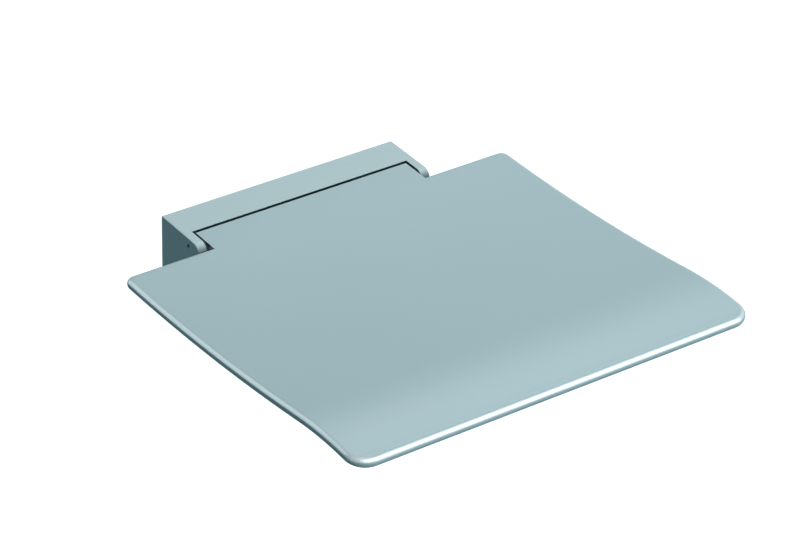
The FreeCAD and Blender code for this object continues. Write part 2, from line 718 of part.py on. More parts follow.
def wallPlate():
    body = newBody("wall_plate")
    sketch = newSketch(body, "YZ_Plane")
    foot = "(plateFootGap - housingHeight / 2)"
    outerBend = "(plateThickness + plateBend)"
    addPath(sketch, [
        ("0", foot),
        ("-plateThickness", foot),
        ("-plateThickness", f"{plateTop} - {outerBend}"),
        (f"-{outerBend}", flangeUnder),
        (f"-{topFlangeDepth}", flangeUnder),
        (f"-{topFlangeDepth}", plateTop),
        (f"-{outerBend}", plateTop),
        ("0", f"{plateTop} - {outerBend}"),
    ], {2: ("plateBend", -1), 6: (outerBend, 1)})
    extrude(body, "Pad", sketch, f"2 * {plateSide}", symmetric=True)
    sketch = newSketch(body, "YZ_Plane", f"{plateSide} - plateThickness")
    addBox(sketch, "0", foot, "-sideFlangeDepth", f"{plateTop} - sideFlangeTopGap")
    flange = extrude(body, "Pad", sketch, "plateThickness")
    mirrored(body, [flange])
    sketch = newSketch(body, "XZ_Plane", "-overcut")
    wallHoles = [(f"{side}wallHoleSpacingX / 2", f"{level}wallHoleSpacingZ / 2")
                 for side in ("", "-") for level in ("", "-")]
    addCircles(sketch, wallHoles, "wallHoleRadius")
    extrude(body, "Pocket", sketch, "plateThickness + 2 * overcut", reverse=True)
    roundPocket(body, f"{plateSide} - plateThickness - overcut", f"{plateSide} + overcut",
                "housingScrewRadius + freeHole", sideScrews, mirror=True)
    return body


def housingScrews():
    body = newBody("housing_screws")
    seat = f"({plateSide} - plateThickness - seatGap)"
    start = f"({seat} - housingHeadLength)"
    head = roundPad(body, start, seat, "housingHeadRadius", sideScrews)
    shank = roundPad(body, start, f"({cheekInner} + housingScrewGrip)", "housingScrewRadius", sideScrews)
    socket = roundPocket(body, start, f"({start} + housingSocketDepth)", "housingSocketRadius", sideScrews)
    mirrored(body, [head, shank, socket])
    return body


def stopPad(label, sign):
    pad = doc.addObject("Part::Box", label)
    pad.Label = label
    outer = f"({tailSide} - padInset)"
    pad.setExpression("Length", bound(f"{outer} - padInner"))
    pad.setExpression("Width", bound("padDepth"))
    pad.setExpression("Height", bound("padThickness"))
    pad.setExpression("Placement.Base.x", bound("padInner" if sign > 0 else f"-{outer}"))
    pad.setExpression("Placement.Base.y", bound(f"-{topFlangeDepth}"))
    pad.setExpression("Placement.Base.z", bound(f"{flangeUnder} - padThickness"))
    return pad


postPlaces = [(f"{sign}({tailSide} + postGap)", "0") for sign in ("", "-")]


def screwCover():
    body = newBody("screw_cover")
    top = f"({housingTop} - coverTopGap)"
    foot = "(plateFootGap + seatGap - housingHeight / 2)"
    side = f"({plateSide} - plateThickness - coverSideGap)"
    rear = "(plateThickness + seatGap)"
    sketch = newSketch(body, "XZ_Plane", rear)
    addBox(sketch, f"-{side}", foot, side, top)
    extrude(body, "Pad", sketch, f"coverDepth - {rear}")
    sketch = newSketch(body, "XZ_Plane", rear)
    addBox(sketch, f"coverWall - {side}", f"{foot} + coverWall", f"{side} - coverWall", f"{top} - coverWall")
    extrude(body, "Pocket", sketch, f"coverDepth - coverWall - {rear}", reverse=True)
    front = -number("coverDepth")
    fillet(body, "coverEdgeRadius", lambda edge: all(
        abs(vertex.Y - front) < 0.01 for vertex in edge.Vertexes))
    sketch = newSketch(body, "XZ_Plane")
    addCircles(sketch, postPlaces, "smallScrewRadius + freeHole")
    extrude(body, "Pocket", sketch, "coverDepth + overcut", reverse=True)
    return body


def coverPosts():
    body = newBody("cover_posts")
    sketch = newSketch(body, "XZ_Plane", "plateThickness")
    addCircles(sketch, postPlaces, "postRadius")
    extrude(body, "Pad", sketch, "coverDepth - coverWall - seatGap - plateThickness")
    sketch = newSketch(body, "XZ_Plane", "coverDepth - coverWall - coverScrewGrip - partGap")
    addCircles(sketch, postPlaces, "smallScrewRadius + screwFit")
    extrude(body, "Pocket", sketch, "coverScrewGrip + overcut", reverse=True)
    return body


def coverScrews():
    body = newBody("cover_screws")
    sketch = newSketch(body, "XZ_Plane", "coverDepth + seatGap")
    addCircles(sketch, postPlaces, "coverHeadRadius")
    extrude(body, "Pad", sketch, "coverHeadLength")
    sketch = newSketch(body, "XZ_Plane", "coverDepth - coverWall - coverScrewGrip")
    addCircles(sketch, postPlaces, "smallScrewRadius")
    extrude(body, "Pad", sketch, "coverScrewGrip + coverWall + seatGap + coverHeadLength")
    return body


def pivotPin():
    body = hingeBody("right_pivot_pin")
    flangeOuter = f"({cheekInner} - seatGap)"
    flangeInner = f"({flangeOuter} - pinFlangeThickness)"
    roundPad(body, flangeInner, flangeOuter, "eyeRadius - pinFlangeInset")
    roundPad(body, flangeInner, f"({cheekInner} + socketDepth - seatGap)", "socketRadius - screwFit")
    shoulder = f"({eyeEnd} - brakeGap / 2)"
    roundPad(body, shoulder, flangeOuter, "pinRadius")
    roundPad(body, f"({nutInner} - pinEndOut)", flangeOuter, "pinEndRadius")
    sketch = newSketch(body, "YZ_Plane", f"{tongueSide} - toothLength")
    toothPath(sketch, toothInner, toothOuter, "(180 - toothAngle / 2)", "(180 + toothAngle / 2)")
    extrude(body, "Pad", sketch, f"{flangeOuter} - ({tongueSide} - toothLength)")
    roundPocket(body, f"({flangeInner} - seatGap)", f"({flangeOuter} + overcut)", "lockRadius + seatGap",
                [(lockBehind, "lockAbove")])
    return body


def ring(body, start, end):
    roundPad(body, start, end, brakeDiscRadius)
    roundPocket(body, f"({start} - overcut)", f"({end} + overcut)", "pinEndRadius + screwFit")


def frictionDisc():
    body = hingeBody("right_friction_disc")
    ring(body, discInner, discOuter)
    return body


def discSprings():
    body = hingeBody("right_disc_springs")
    sketch = newSketch(body, "XY_Plane")
    inner = "(pinEndRadius + screwFit)"
    for count in range(springCount):
        start = f"({springInner} + {count} * {springPitch} + seatGap / 2)"
        near, far = ("0", "springCone") if count % 2 == 0 else ("springCone", "0")
        addPath(sketch, [
            (f"{start} + {near}", inner),
            (f"{start} + {near} + springThickness", inner),
            (f"{start} + {far} + springThickness", brakeDiscRadius),
            (f"{start} + {far}", brakeDiscRadius),
        ])
    turned = body.newObject("PartDesign::Revolution", "Turned")
    turned.Profile = sketch
    turned.ReferenceAxis = (sketch, ["H_Axis"])
    turned.Angle = 360
    doc.recompute()
    return body


def brakeNut():
    body = hingeBody("right_brake_nut")
    past = f"({brakeDiscRadius} + overcut)"
    ring(body, nutInner, springInner)
    sketch = newSketch(body, "YZ_Plane", f"{nutInner} - overcut")
    addBox(sketch, f"-{past}", "-brakeNutSlot / 2", past, "brakeNutSlot / 2")
    extrude(body, "Pocket", sketch, "overcut + brakeNutSlot", reverse=True)
    return body


def pinLockScrews():
    body = hingeBody("pin_lock_screws")
    place = [(lockBehind, "lockAbove")]
    outer = "(housingWidth / 2 - lockRecess)"
    screw = roundPad(body, f"({cheekInner} - pinFlangeThickness)", outer, "lockRadius - screwFit", place)
    socket = roundPocket(body, f"({outer} - lockSocketDepth)", f"({outer} + overcut)", "lockSocketRadius",
                         place)
    mirrored(body, [screw, socket])
    return body


def screwInserts():
    body = seatBody("screw_inserts")
    for row, height, slope, spreads in bossRows:
        centres = bossCentres(row, spreads)
        start = bossFoot(height, slope)
        sketch = newSketch(body, "XY_Plane", start)
        addCircles(sketch, centres, "insertRadius")
        extrude(body, "Pad", sketch, "insertLength")
        sketch = newSketch(body, "XY_Plane", start)
        addCircles(sketch, centres, "smallScrewRadius + screwFit")
        extrude(body, "Pocket", sketch, "insertLength + overcut", reverse=True)
    return body


def baseScrews():
    body = seatBody("base_screws")
    for row, height, slope, spreads in bossRows:
        centres = bossCentres(row, spreads)
        start = screwHeadFace(height, slope)
        sketch = newSketch(body, "XY_Plane", start)
        addCircles(sketch, centres, "baseHeadRadius")
        extrude(body, "Pad", sketch, "baseHeadLength - seatGap")
        sketch = newSketch(body, "XY_Plane", start)
        addCircles(sketch, centres, "smallScrewRadius")
        extrude(body, "Pad", sketch, "coverThickness + insertLength - seatGap")
    return body


def bothSides(build, stem):
    """The right hand piece, and its mirror image as the left hand one."""
    right = build()
    return [right, otherSide("left_" + stem, right)]


pieces = [
    seatShell(), baseCover(), carrierPlate(), hingeBlock(), carrierScrews(), screwInserts(), baseScrews(),
    housing(), wallPlate(), housingScrews(), stopPad("left_stop_pad", -1), stopPad("right_stop_pad", 1),
    screwCover(), coverPosts(), coverScrews(), pinLockScrews(),
]
pieces += bothSides(bush, "bush")
pieces += bothSides(brakeCover, "brake_cover")
pieces += bothSides(pivotPin, "pivot_pin")
pieces += bothSides(frictionDisc, "friction_disc")
pieces += bothSides(discSprings, "disc_springs")
pieces += bothSides(brakeNut, "brake_nut")
doc.recompute()

failed = [item.Label for item in doc.Objects if "Invalid" in item.State or "Error" in item.State]
if failed:
    raise RuntimeError("these objects failed: " + ", ".join(failed))
for piece in pieces:
    if piece.Shape.isNull() or not piece.Shape.isValid() or not piece.Shape.Solids:
        raise RuntimeError(piece.Label + " has no valid solid")

os.makedirs("parts", exist_ok=True)
for piece in pieces:
    piece.Shape.exportStep(os.path.join("parts", piece.Label + ".step"))
    print(piece.Label, len(piece.Shape.Solids), "solids", round(piece.Shape.Volume), "mm3")
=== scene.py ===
import json
import math

import bmesh
import bpy
from mathutils import Matrix, Vector


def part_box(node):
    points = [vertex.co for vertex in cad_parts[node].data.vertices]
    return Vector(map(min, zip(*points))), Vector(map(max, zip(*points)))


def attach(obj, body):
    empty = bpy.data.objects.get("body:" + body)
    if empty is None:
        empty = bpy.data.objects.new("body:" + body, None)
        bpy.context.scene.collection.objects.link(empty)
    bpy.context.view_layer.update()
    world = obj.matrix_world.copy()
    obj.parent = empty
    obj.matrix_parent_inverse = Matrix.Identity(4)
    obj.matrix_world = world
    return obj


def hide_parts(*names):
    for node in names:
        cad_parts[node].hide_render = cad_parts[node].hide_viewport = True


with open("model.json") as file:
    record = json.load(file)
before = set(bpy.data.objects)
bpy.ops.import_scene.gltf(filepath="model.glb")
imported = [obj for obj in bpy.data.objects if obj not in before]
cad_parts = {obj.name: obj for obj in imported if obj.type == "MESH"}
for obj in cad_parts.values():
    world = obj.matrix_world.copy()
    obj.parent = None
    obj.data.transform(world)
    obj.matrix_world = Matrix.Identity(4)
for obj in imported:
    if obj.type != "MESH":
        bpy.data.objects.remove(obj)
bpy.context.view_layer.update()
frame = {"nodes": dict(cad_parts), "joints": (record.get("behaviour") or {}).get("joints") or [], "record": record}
print("frame loaded:", len(frame["nodes"]), "nodes")

mm = 0.001
hair = 1e-6     # metres: less than any real distance in the shapes
hingeAxis = Vector(next(joint["pos_m"] for joint in frame["joints"] if joint["name"] == "seat_fold"))
housingLow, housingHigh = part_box("housing")
seatLow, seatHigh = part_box("seat_shell")


# Building helpers. Every piece is made in place, so that its object stays at the origin.

def boxBetween(low, high):
    bm = bmesh.new()
    bmesh.ops.create_cube(bm, size=1)
    bmesh.ops.scale(bm, vec=Vector(high) - Vector(low), verts=bm.verts)
    bmesh.ops.translate(bm, vec=(Vector(high) + Vector(low)) / 2, verts=bm.verts)
    return bm


def rodAlongX(radius, start, end, segments=48):
    # start and end are the middles of its two ends
    bm = bmesh.new()
    bmesh.ops.create_cone(bm, cap_ends=True, segments=segments, radius1=radius, radius2=radius,
                          depth=(Vector(end) - Vector(start)).length)
    bmesh.ops.rotate(bm, verts=bm.verts, cent=(0, 0, 0), matrix=Matrix.Rotation(math.pi / 2, 3, "Y"))
    bmesh.ops.translate(bm, vec=(Vector(start) + Vector(end)) / 2, verts=bm.verts)
    return bm


def roundEdges(bm, edges, radius, segments):
    bmesh.ops.bevel(bm, geom=edges, offset=radius, offset_type="OFFSET", affect="EDGES",
                    segments=segments, profile=0.5, material=-1, clamp_overlap=False)


def asObject(name, bm):
    bmesh.ops.recalc_face_normals(bm, faces=bm.faces)
    mesh = bpy.data.meshes.new(name)
    bm.to_mesh(mesh)
    bm.free()
    piece = bpy.data.objects.new(name, mesh)
    bpy.context.scene.collection.objects.link(piece)
    return piece


def carve(piece, bm, operation="DIFFERENCE"):
    # cut a shape out of the piece, or add it with UNION
    tool = asObject("tool", bm)
    modifier = piece.modifiers.new("Carve", "BOOLEAN")
    modifier.operation = operation
    modifier.solver = "EXACT"
    modifier.object = tool
    evaluated = piece.evaluated_get(bpy.context.evaluated_depsgraph_get())
    carved = bpy.data.meshes.new_from_object(evaluated)
    piece.modifiers.clear()
    carved.name = piece.name
    piece.data = carved
    bpy.data.objects.remove(tool)


def finishPiece(piece, body, slot, node, sharpFrom=32):
    # smooth shading that stays crisp at edges sharper than the angle, then the link to the frame
    bm = bmesh.new()
    bm.from_mesh(piece.data)
    bmesh.ops.remove_doubles(bm, verts=bm.verts, dist=2 * hair)
    for face in bm.faces:
        face.smooth = True
    for edge in bm.edges:
        edge.smooth = len(edge.link_faces) == 2 and edge.calc_face_angle(0) < math.radians(sharpFrom)
    bm.to_mesh(piece.data)
    bm.free()
    weighted = piece.modifiers.new("Normals", "WEIGHTED_NORMAL")
    weighted.keep_sharp = True
    weighted.weight = 100
    piece.data.materials.clear()
    piece.data.materials.append(finishes[slot])
    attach(piece, body)
    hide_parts(node)
    print("made", piece.name, "with", len(piece.data.polygons), "faces")


# Shared effects of the materials, as node groups.

def newGroup(name, inputs, outputs):
    group = bpy.data.node_groups.new(name, "ShaderNodeTree")
    for socketName, kind, value in inputs:
        socket = group.interface.new_socket(name=socketName, in_out="INPUT", socket_type=kind)
        socket.default_value = value
    for socketName, kind in outputs:
        group.interface.new_socket(name=socketName, in_out="OUTPUT", socket_type=kind)
    start = group.nodes.new("NodeGroupInput").outputs
    end = group.nodes.new("NodeGroupOutput").inputs
    return group, start, end


def newEffect(name, *inputs):
    # an effect takes a colour, and puts out the changed colour and where it lies
    return newGroup(name, [("Colour", "NodeSocketColor", (0.5, 0.5, 0.5, 1)), *inputs],
                    [("Colour", "NodeSocketColor"), ("Mask", "NodeSocketFloat")])


def feed(tree, value, socket):
    # a value is another node's socket or a plain number or colour
    if isinstance(value, bpy.types.NodeSocket):
        tree.links.new(value, socket)
    else:
        socket.default_value = value


def addNode(tree, kind, values=None, **settings):
    node = tree.nodes.new(kind)
    for key, value in settings.items():
        setattr(node, key, value)
    for key, value in (values or {}).items():
        feed(tree, value, node.inputs[key])
    return node


def compute(tree, operation, *values):
    return addNode(tree, "ShaderNodeMath", dict(enumerate(values)), operation=operation).outputs[0]


def product(tree, first, *others):
    for other in others:
        first = compute(tree, "MULTIPLY", first, other)
    return first


def smoothStep(tree, value, low, high, least=0):
    step = addNode(tree, "ShaderNodeMapRange",
                   {"Value": value, "From Min": low, "From Max": high, "To Min": least},
                   interpolation_type="SMOOTHSTEP")
    return step.outputs[0]


def noise(tree, place, scale, detail, roughness):
    texture = addNode(tree, "ShaderNodeTexNoise",
                      {"Vector": place, "Scale": scale, "Detail": detail, "Roughness": roughness})
    return texture.outputs["Fac"]


def scaled(tree, colour, factor):
    node = addNode(tree, "ShaderNodeVectorMath", {0: colour, "Scale": factor}, operation="SCALE")
    return node.outputs[0]


def axesOf(tree, vector):
    split = addNode(tree, "ShaderNodeSeparateXYZ", {0: vector})
    return split.outputs["X"], split.outputs["Y"], split.outputs["Z"]


def layOver(tree, start, end, mask, colour):
    # the effect's own colour over the finish, as far as the mask says
    mixed = addNode(tree, "ShaderNodeMix", {0: mask, 6: start["Colour"], 7: colour}, data_type="RGBA")
    feed(tree, mixed.outputs[2], end["Colour"])
    feed(tree, mask, end["Mask"])


def makeGrainGroup():
    # fine pebbles of a coat or of moulded plastic, or brush marks of metal: a height for a Bump node
    group, start, end = newGroup("surfaceGrain", [
        ("Grains per metre", "NodeSocketFloat", 900),
        ("Stretch", "NodeSocketVector", (1, 1, 1)),
        ("Waviness", "NodeSocketFloat", 0.3),
    ], [("Height", "NodeSocketFloat")])
    place = addNode(group, "ShaderNodeTexCoord").outputs["Object"]
    stretched = addNode(group, "ShaderNodeVectorMath", {0: place, 1: start["Stretch"]},
                        operation="MULTIPLY")
    grain = noise(group, stretched.outputs[0], start["Grains per metre"], detail=2, roughness=0.55)
    swell = noise(group, place, scale=60, detail=1, roughness=0.4)
    mixed = addNode(group, "ShaderNodeMix", {0: start["Waviness"], 2: grain, 3: swell}, data_type="FLOAT")
    feed(group, mixed.outputs[0], end["Height"])
    return group


def makeToneGroup():
    # slow cloudy change of colour and gloss over a surface
    group, start, end = newGroup("slowTone", [
        ("Colour", "NodeSocketColor", (0.5, 0.5, 0.5, 1)),
        ("Change", "NodeSocketFloat", 0.03),
        ("Gloss", "NodeSocketFloat", 0.35),
        ("Gloss change", "NodeSocketFloat", 0.04),
        ("Clouds per metre", "NodeSocketFloat", 9),
    ], [("Colour", "NodeSocketColor"), ("Roughness", "NodeSocketFloat")])
    place = addNode(group, "ShaderNodeTexCoord").outputs["Object"]
    clouds = noise(group, place, start["Clouds per metre"], detail=3, roughness=0.5)
    centred = compute(group, "SUBTRACT", clouds, 0.5)
    bright = compute(group, "ADD", product(group, centred, start["Change"]), 1)
    feed(group, scaled(group, start["Colour"], bright), end["Colour"])
    gloss = compute(group, "ADD", product(group, centred, start["Gloss change"]), start["Gloss"])
    feed(group, gloss, end["Roughness"])
    return group


def makeWearGroup():
    # rims and edges that hands and cloths have rubbed, in patches: lighter than the rest
    group, start, end = newEffect("edgeWear", ("Wear", "NodeSocketFloat", 0.06),
                                  ("Patches per metre", "NodeSocketFloat", 35))
    coordinates = addNode(group, "ShaderNodeTexCoord").outputs
    facing = addNode(group, "ShaderNodeVectorMath", {0: coordinates["Normal"]}, operation="ABSOLUTE")
    x, y, z = axesOf(group, facing.outputs[0])
    largest = compute(group, "MAXIMUM", compute(group, "MAXIMUM", x, y), z)
    # a flat face looks along one axis, and the rounding between two faces doesn't
    slant = smoothStep(group, largest, low=0.97, high=0.8)
    patches = noise(group, coordinates["Object"], start["Patches per metre"], detail=3, roughness=0.6)
    mask = product(group, slant, smoothStep(group, patches, low=0.45, high=0.65))
    lighter = compute(group, "MULTIPLY_ADD", mask, start["Wear"], 1)
    feed(group, scaled(group, start["Colour"], lighter), end["Colour"])
    feed(group, mask, end["Mask"])
    return group


def makePolishGroup():
    # the rounded upper edges at the front and sides, which legs and hands polish: a mask for the coat
    group, start, end = newGroup("polishedRim", [("Polish", "NodeSocketFloat", 1)],
                                 [("Mask", "NodeSocketFloat")])
    x, y, z = axesOf(group, addNode(group, "ShaderNodeTexCoord").outputs["Normal"])
    # the front counts less than the sides for where the polish starts, and more for how far down it goes
    outward = compute(group, "MULTIPLY_ADD", y, -0.35, compute(group, "ABSOLUTE", x))
    raised = compute(group, "MULTIPLY_ADD", y, -0.5, z)
    slanted = smoothStep(group, outward, low=0.07, high=0.26)
    upward = smoothStep(group, raised, low=0, high=0.45)
    frontMost = smoothStep(group, y, low=-0.1, high=-0.4, least=0.42)      # the front edge shines most
    feed(group, product(group, slanted, upward, frontMost, start["Polish"]), end["Mask"])
    return group


def makeDustGroup():
    # thin dust that settles in patches on faces that look up
    group, start, end = newEffect("settledDust", ("Dust", "NodeSocketFloat", 0.1),
                                  ("Dust colour", "NodeSocketColor", (0.5, 0.49, 0.47, 1)))
    coordinates = addNode(group, "ShaderNodeTexCoord").outputs
    upward = axesOf(group, coordinates["Normal"])[2]
    patches = noise(group, coordinates["Object"], scale=45, detail=4, roughness=0.6)
    mask = product(group, smoothStep(group, upward, low=0.5, high=0.95), patches, start["Dust"])
    layOver(group, start, end, mask, start["Dust colour"])
    return group


def makeJointShadeGroup():
    # painted shade deep in the joint round the seat's tongue, where shade falls: full in a box, fading below its
    # top
    group, start, end = newEffect(
        "jointPaintedShade",
        ("Inner half", "NodeSocketFloat", 0.11),
        ("Outer half", "NodeSocketFloat", 0.12),
        ("Start", "NodeSocketFloat", 0.03),
        ("End", "NodeSocketFloat", 0.07),
        ("Top", "NodeSocketFloat", 0.04),
        ("Fade", "NodeSocketFloat", 0.01),
        ("Painted shade", "NodeSocketFloat", 0.9),
        ("Painted shade colour", "NodeSocketColor", paintedShadeColour))
    x, y, z = axesOf(group, addNode(group, "ShaderNodeTexCoord").outputs["Object"])
    side = compute(group, "ABSOLUTE", x)
    reach = compute(group, "MULTIPLY", y, -1)
    inside = product(group,
                     compute(group, "GREATER_THAN", side, start["Inner half"]),
                     compute(group, "GREATER_THAN", start["Outer half"], side),
                     compute(group, "GREATER_THAN", reach, start["Start"]),
                     compute(group, "GREATER_THAN", start["End"], reach))
    depth = smoothStep(group, z, compute(group, "SUBTRACT", start["Top"], start["Fade"]), start["Top"])
    layOver(group, start, end, product(group, inside, depth, start["Painted shade"]), start["Painted shade colour"])
    return group


def makeNookShadeGroup():
    # painted shade on faces turned one way, towards the other body across a narrow slot
    group, start, end = newEffect(
        "nookPaintedShade",
        ("Facing", "NodeSocketFloat", 1),       # 1 marks faces that look to the wall, -1 to the front
        ("Bottom", "NodeSocketFloat", -1),      # no painted shade below this height
        ("Fade", "NodeSocketFloat", 0.006),
        ("Painted shade", "NodeSocketFloat", 0.6),
        ("Painted shade colour", "NodeSocketColor", paintedShadeColour))
    coordinates = addNode(group, "ShaderNodeTexCoord").outputs
    towardsWall = axesOf(group, coordinates["Normal"])[1]
    height = axesOf(group, coordinates["Object"])[2]
    turned = smoothStep(group, product(group, towardsWall, start["Facing"]), low=0.35, high=0.9)
    raised = compute(group, "SUBTRACT", height, start["Bottom"])
    above = smoothStep(group, raised, low=0, high=start["Fade"])
    layOver(group, start, end, product(group, turned, above, start["Painted shade"]), start["Painted shade colour"])
    return group


# colour of the painted shade in the slots round the tongue and on the noses
paintedShadeColour = (0.003, 0.014, 0.017, 1)
toneGroup = makeToneGroup()
grainGroup = makeGrainGroup()
polishGroup = makePolishGroup()
effects = {     # the effects that change a finish's colour, each with the roughness it adds
    "wear": (makeWearGroup(), -0.05),
    "dust": (makeDustGroup(), 0.3),
    # joint and nook paint shade into the colour where shade falls in the slots
    "joint": (makeJointShadeGroup(), 0.4),
    "nook": (makeNookShadeGroup(), 0.3),
}
print("effect groups made")

plainLook = {               # what a finish has unless its own look says otherwise
    "metallic": 0, "ior": 1.5, "specular": 0.5, "clouds": 9, "stretch": (1, 1, 1), "waviness": 0.3,
}


def makeFinish(name, ownLook):
    # one coated, moulded or metal finish from the shared effects
    look = {**plainLook, **ownLook}
    material = bpy.data.materials.new(name)
    material.use_nodes = True
    tree = material.node_tree
    shader = tree.nodes["Principled BSDF"]
    shader.inputs["Metallic"].default_value = look["metallic"]
    shader.inputs["IOR"].default_value = look["ior"]
    shader.inputs["Specular IOR Level"].default_value = look["specular"]
    tone = addNode(tree, "ShaderNodeGroup", {
        "Colour": (*look["colour"], 1),
        "Change": look["change"],
        "Gloss": look["gloss"],
        "Gloss change": look["glossChange"],
        "Clouds per metre": look["clouds"],
    }, node_tree=toneGroup)
    grain = addNode(tree, "ShaderNodeGroup", {
        "Grains per metre": look["grains"],
        "Stretch": look["stretch"],
        "Waviness": look["waviness"],
    }, node_tree=grainGroup)
    colour, roughness = tone.outputs["Colour"], tone.outputs["Roughness"]
    for effectName, (group, rougher) in effects.items():
        if effectName in look:
            effect = addNode(tree, "ShaderNodeGroup", {"Colour": colour, **look[effectName]},
                             node_tree=group)
            colour = effect.outputs["Colour"]
            roughness = compute(tree, "MULTIPLY_ADD", effect.outputs["Mask"], rougher, roughness)
    feed(tree, colour, shader.inputs["Base Color"])
    feed(tree, roughness, shader.inputs["Roughness"])
    if "polish" in look:
        polish = addNode(tree, "ShaderNodeGroup", {"Polish": look["polish"]}, node_tree=polishGroup)
        feed(tree, polish.outputs["Mask"], shader.inputs["Coat Weight"])
        shader.inputs["Coat Roughness"].default_value = look["polishGloss"]
        shader.inputs["Coat IOR"].default_value = look["polishIor"]
    bump = addNode(tree, "ShaderNodeBump", {"Strength": look["bump"], "Distance": look["grainDepth"] * mm,
                                            "Height": grain.outputs["Height"]})
    feed(tree, bump.outputs["Normal"], shader.inputs["Normal"])
    return material


jointPlaces = {             # where painted shade lies round the tongue, in millimetres
    "tongueSide": 116.25,
    "tongueStart": 30,
    "tongueEnd": 64.5,
    "tongueTop": 41,
    "cheekSide": 118.9,
    "stripFront": 37.35,
    "cheekEnd": 80,
    "cheekTop": 41.5,
    "noseFoot": 24,
    "depth": 12,
    "past": 1000,           # beyond the whole part
}
jointAt = {key: value * mm for key, value in jointPlaces.items()}

seatLook = {
    "colour": (0.272, 0.383, 0.406), "specular": 0.4, "change": 0.03, "gloss": 0.3, "glossChange": 0.02,
    "grains": 1400, "bump": 0.1, "grainDepth": 0.005,
    "polish": 1, "polishGloss": 0.28, "polishIor": 3.2,
    "wear": {"Wear": 0.05}, "dust": {"Dust": 0.03},
    # nook and joint are painted shade: darker faces turned to the wall, and dark tongue sides in the slot
    "nook": {"Facing": 1, "Bottom": -jointAt["past"], "Painted shade": 0.7},
    "joint": {"Inner half": jointAt["tongueSide"], "Outer half": jointAt["past"],
              "Start": jointAt["tongueStart"], "End": jointAt["tongueEnd"],
              "Top": jointAt["tongueTop"], "Fade": jointAt["depth"], "Painted shade": 0.97},
}
coatLook = {
    "colour": (0.383, 0.485, 0.499), "specular": 0.1, "change": 0.03, "gloss": 0.36, "glossChange": 0.04,
    "grains": 1100, "bump": 0.1, "grainDepth": 0.01,
    "wear": {"Wear": 0.08}, "dust": {"Dust": 0.06},
    # nook and joint are painted shade: darker front-facing noses, and a dark slot between the cheeks
    "nook": {"Facing": -1, "Bottom": jointAt["noseFoot"], "Painted shade": 0.65},
    "joint": {"Inner half": -jointAt["past"], "Outer half": jointAt["cheekSide"],
              "Start": jointAt["stripFront"], "End": jointAt["cheekEnd"],
              "Top": jointAt["cheekTop"], "Fade": jointAt["depth"], "Painted shade": 0.97},
}
castLook = {
    "colour": (0.32, 0.43, 0.455), "specular": 0.25, "change": 0.05, "gloss": 0.5, "glossChange": 0.08,
    "grains": 700, "bump": 0.5, "grainDepth": 0.05, "waviness": 0.5,
    "wear": {"Wear": 0.12, "Patches per metre": 60}, "dust": {"Dust": 0.25},
}
greyPlasticLook = {
    "colour": (0.3, 0.4, 0.425), "specular": 0.3, "change": 0.03, "gloss": 0.55, "glossChange": 0.06,
    "grains": 1600, "bump": 0.5, "grainDepth": 0.03,
    "wear": {"Wear": 0.1, "Patches per metre": 60}, "dust": {"Dust": 0.15},
}
aluminiumLook = {
    "colour": (0.72, 0.73, 0.75), "metallic": 1, "change": 0.06, "gloss": 0.38, "glossChange": 0.15,
    "clouds": 30, "grains": 2000, "stretch": (1, 0.03, 1), "bump": 0.3, "grainDepth": 0.01,
}
steelLook = {
    "colour": (0.42, 0.43, 0.44), "metallic": 1, "change": 0.12, "gloss": 0.38, "glossChange": 0.12,
    "clouds": 60, "grains": 2500, "stretch": (0.03, 1, 1), "bump": 0.4, "grainDepth": 0.01,
    "dust": {"Dust": 0.2},
}
darkSteelLook = {
    "colour": (0.035, 0.038, 0.042), "metallic": 0.6, "change": 0.1, "gloss": 0.42, "glossChange": 0.1,
    "clouds": 80, "grains": 1500, "bump": 0.3, "grainDepth": 0.01,
    "wear": {"Wear": 1.5, "Patches per metre": 200},
}
bearingLook = {
    "colour": (0.035, 0.04, 0.046), "change": 0.05, "gloss": 0.45, "glossChange": 0.08,
    "clouds": 60, "grains": 1800, "bump": 0.3, "grainDepth": 0.01,
}
brassLook = {
    "colour": (0.7, 0.5, 0.2), "metallic": 1, "change": 0.08, "gloss": 0.28, "glossChange": 0.12,
    "clouds": 80, "grains": 1500, "bump": 0.2, "grainDepth": 0.01,
}
rubberLook = {
    "colour": (0.012, 0.012, 0.013), "change": 0.2, "gloss": 0.75, "glossChange": 0.1,
    "clouds": 50, "grains": 1400, "bump": 0.6, "grainDepth": 0.03,
    "dust": {"Dust": 0.1},
}

finishes = {
    "seat_finish": makeFinish("seatCoat", seatLook),
    "housing_finish": makeFinish("housingCoat", coatLook),
    "cast_finish": makeFinish("castCoat", castLook),
    "grey_plastic": makeFinish("greyPlastic", greyPlasticLook),
    "aluminium_plate": makeFinish("millAluminium", aluminiumLook),
    "steel": makeFinish("stainlessSteel", steelLook),
    "dark_steel": makeFinish("blackenedSteel", darkSteelLook),
    "bearing_plastic": makeFinish("bearingPlastic", bearingLook),
    "brass": makeFinish("turnedBrass", brassLook),
    "rubber": makeFinish("mattRubber", rubberLook),
}
slotOf = {part["node"]: part["material_slot"] for part in frame["record"]["subparts"]}
print("finishes made:", len(finishes))


# Seat panel: a thin slab that follows the wave, with a rolled rim, and the tongue between the cheeks.

seatPanel = {               # millimetres and degrees
    "drop": 0.5,            # flat top below the top of the housing
    "thickness": 10.1,
    "wingRear": 69,
    "hollowStart": 84.6,
    "riseAngle": 7.53,
    "crestRadius": 350.9,
    "crestSetback": 45.6,
    "frontAngle": 3.2,
    "rimRadius": 4.9,
    "rimSegments": 8,
    "rimLeast": 50,         # an edge of the rim turns by an angle between these
    "rimMost": 126,
    "frontCorner": 20,
    "rearCorner": 9,
    "cornerSegments": 12,
    "skin": 3.2,
    "rimWall": 12,
    "hollowRear": 92.3,     # rear wall of the hollow inside
    "skirtDepth": 7.5,
    "skirtThickness": 2.6,
    "rowStep": 6,
    "gap": 0.3,
    "overcut": 5,
}
seatTop = housingHigh.z - seatPanel["drop"] * mm
seatReach = -seatLow.y
seatHalf = seatHigh.x
tongueRear = -seatHigh.y
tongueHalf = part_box("hinge_block")[1].x


